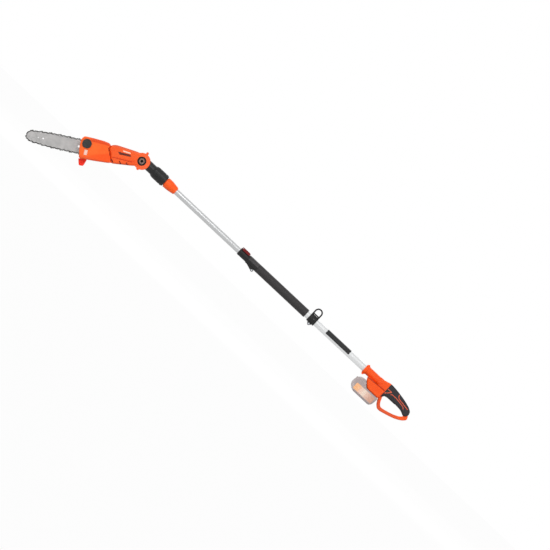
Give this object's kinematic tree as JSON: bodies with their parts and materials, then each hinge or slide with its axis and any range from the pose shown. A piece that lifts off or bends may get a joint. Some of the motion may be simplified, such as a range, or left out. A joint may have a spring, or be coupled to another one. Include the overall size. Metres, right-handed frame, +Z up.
{
  "type": "telescoping pole saw",
  "caption": "Cordless telescoping pole saw with tilting saw head, guide bar and chain, two-section tube pole, foam grip, strap hoop, looped rear handle and battery pack",
  "frame": {"origin": "middle of the carrying strap's hoop, where the saw hangs from its strap", "axes": "+X along the pole from the saw head to the handle, +Z up (the hoop's side), -Y the side with the oil cap"},
  "size_m": [1.8948, 0.0793, 0.309],
  "materials": {
    "orange_plastic": "moulded, satin to gloss",
    "red_plastic": "moulded, satin",
    "black_plastic": "moulded, fine grain",
    "dark_grey_plastic": "moulded, fine grain",
    "grip_rubber": "soft overmould, ribbed",
    "foam": "closed-cell foam",
    "tube_aluminium": "satin anodised",
    "bar_steel": "ground and brushed",
    "chain_steel": "oiled",
    "gear_steel": "machined",
    "fastener_steel": "zinc plated",
    "cast_alloy": "die cast",
    "tank_plastic": "natural translucent",
    "battery_plastic": "pale, moulded",
    "copper": "contact metal",
    "hoop_steel": "black coated"
  },
  "bodies": {
    "handle": {"outer_tube": "tube_aluminium", "lock_housing": "black_plastic", "lock_collet": "black_plastic", "lever_pin": "fastener_steel", "foam_grip": "foam", "strap_clamp": "black_plastic", "strap_hoop": "hoop_steel", "clamp_screws": "fastener_steel", "handle_shell_near": "orange_plastic", "handle_shell_far": "orange_plastic", "grip_skin_near": "grip_rubber", "grip_skin_far": "grip_rubber", "trigger_pin": "fastener_steel", "trigger_spring": "fastener_steel", "switch": "black_plastic", "terminal_block": "black_plastic", "handle_screws": "fastener_steel"},
    "pole_front": {"knuckle": "black_plastic", "pole_ferrule": "orange_plastic", "inner_tube": "tube_aluminium", "guide_bush": "black_plastic"},
    "collar": {"coupling_collar": "black_plastic"},
    "head": {"guide_bar": "bar_steel", "drive_links": "chain_steel", "tie_straps": "chain_steel", "cutters": "chain_steel", "chain_rivets": "chain_steel", "front_housing": "orange_plastic", "oil_tank": "tank_plastic", "gear_case": "cast_alloy", "sprocket_cover": "orange_plastic", "bar_nut": "fastener_steel", "bar_stud": "fastener_steel", "tension_pin": "gear_steel", "tension_screw": "fastener_steel", "motor_housing_near": "orange_plastic", "motor_housing_far": "orange_plastic", "head_screws": "fastener_steel", "branch_hook": "red_plastic", "pivot_bolt": "fastener_steel", "pivot_washer": "black_plastic", "pivot_nut": "fastener_steel", "motor_can": "gear_steel", "shaft_bearing": "gear_steel"},
    "cap": {"oil_cap": "dark_grey_plastic"},
    "nose": {"nose_sprocket": "gear_steel"},
    "drive": {"drive_sprocket": "gear_steel", "bevel_gear": "gear_steel", "output_shaft": "gear_steel"},
    "armature": {"rotor": "gear_steel", "motor_pinion": "gear_steel"},
    "lever": {"lock_lever": "red_plastic"},
    "trigger": {"trigger": "black_plastic"},
    "plunger": {"switch_plunger": "red_plastic"},
    "lock_button": {"lock_off_button": "dark_grey_plastic"},
    "battery": {"battery_lower": "battery_plastic", "battery_upper": "battery_plastic", "battery_cells": "gear_steel"},
    "latch": {"battery_button": "battery_plastic"}
  },
  "joints": [
    {"name": "pole_slide", "type": "slide", "parent": "handle", "child": "pole_front", "axis": [1, 0, 0], "range_m": [0, 0.345]},
    {"name": "coupling_turn", "type": "hinge", "parent": "pole_front", "child": "collar", "pos_m": [-0.84, 0, -0.03695], "axis": [1, 0, 0], "range_deg": [0, 90]},
    {"name": "head_tilt", "type": "hinge", "parent": "pole_front", "child": "head", "pos_m": [-0.93, 0, -0.04195], "axis": [0, 1, 0], "range_deg": [0, 30.63]},
    {"name": "oil_cap_turn", "type": "hinge", "parent": "head", "child": "cap", "pos_m": [-1.138, -0.036, -0.14012], "axis": [0, -1, 0], "continuous": true},
    {"name": "nose_sprocket_spin", "type": "hinge", "parent": "head", "child": "nose", "pos_m": [-1.32269, 0.014, -0.26982], "axis": [0, 1, 0], "continuous": true},
    {"name": "drive_spin", "type": "hinge", "parent": "head", "child": "drive", "pos_m": [-1.08881, 0, -0.13133], "axis": [0, 1, 0], "continuous": true},
    {"name": "motor_spin", "type": "hinge", "parent": "head", "child": "armature", "pos_m": [-1.01809, -0.006, -0.08946], "axis": [0.8605, 0, 0.5095], "continuous": true},
    {"name": "lock_lever_open", "type": "hinge", "parent": "handle", "child": "lever", "pos_m": [-0.3955, 0, -0.01825], "axis": [0, -1, 0], "range_deg": [0, 100]},
    {"name": "trigger_squeeze", "type": "hinge", "parent": "handle", "child": "trigger", "pos_m": [0.488, 0, -0.04925], "axis": [0, 1, 0], "range_deg": [0, 5], "stiffness_Nm_per_rad": 1, "springref_deg": -14.32},
    {"name": "switch_press", "type": "slide", "parent": "handle", "child": "plunger", "axis": [0, 0, 1], "range_m": [0, 0.0041]},
    {"name": "lock_off_press", "type": "slide", "parent": "handle", "child": "lock_button", "axis": [0, 1, 0], "range_m": [0, 0.003], "stiffness_N_per_m": 300, "springref_m": -0.004},
    {"name": "battery_slide", "type": "slide", "parent": "handle", "child": "battery", "axis": [-1, 0, 0], "range_m": [0, 0.08]},
    {"name": "battery_latch_press", "type": "slide", "parent": "battery", "child": "latch", "axis": [1, 0, 0], "range_m": [0, 0.003], "stiffness_N_per_m": 300, "springref_m": -0.004}
  ],
  "couplings": [
    {"joint": "motor_spin", "follows": "drive_spin", "ratio": 4},
    {"joint": "switch_press", "follows": "trigger_squeeze", "m_per_rad": 0.046}
  ]
}
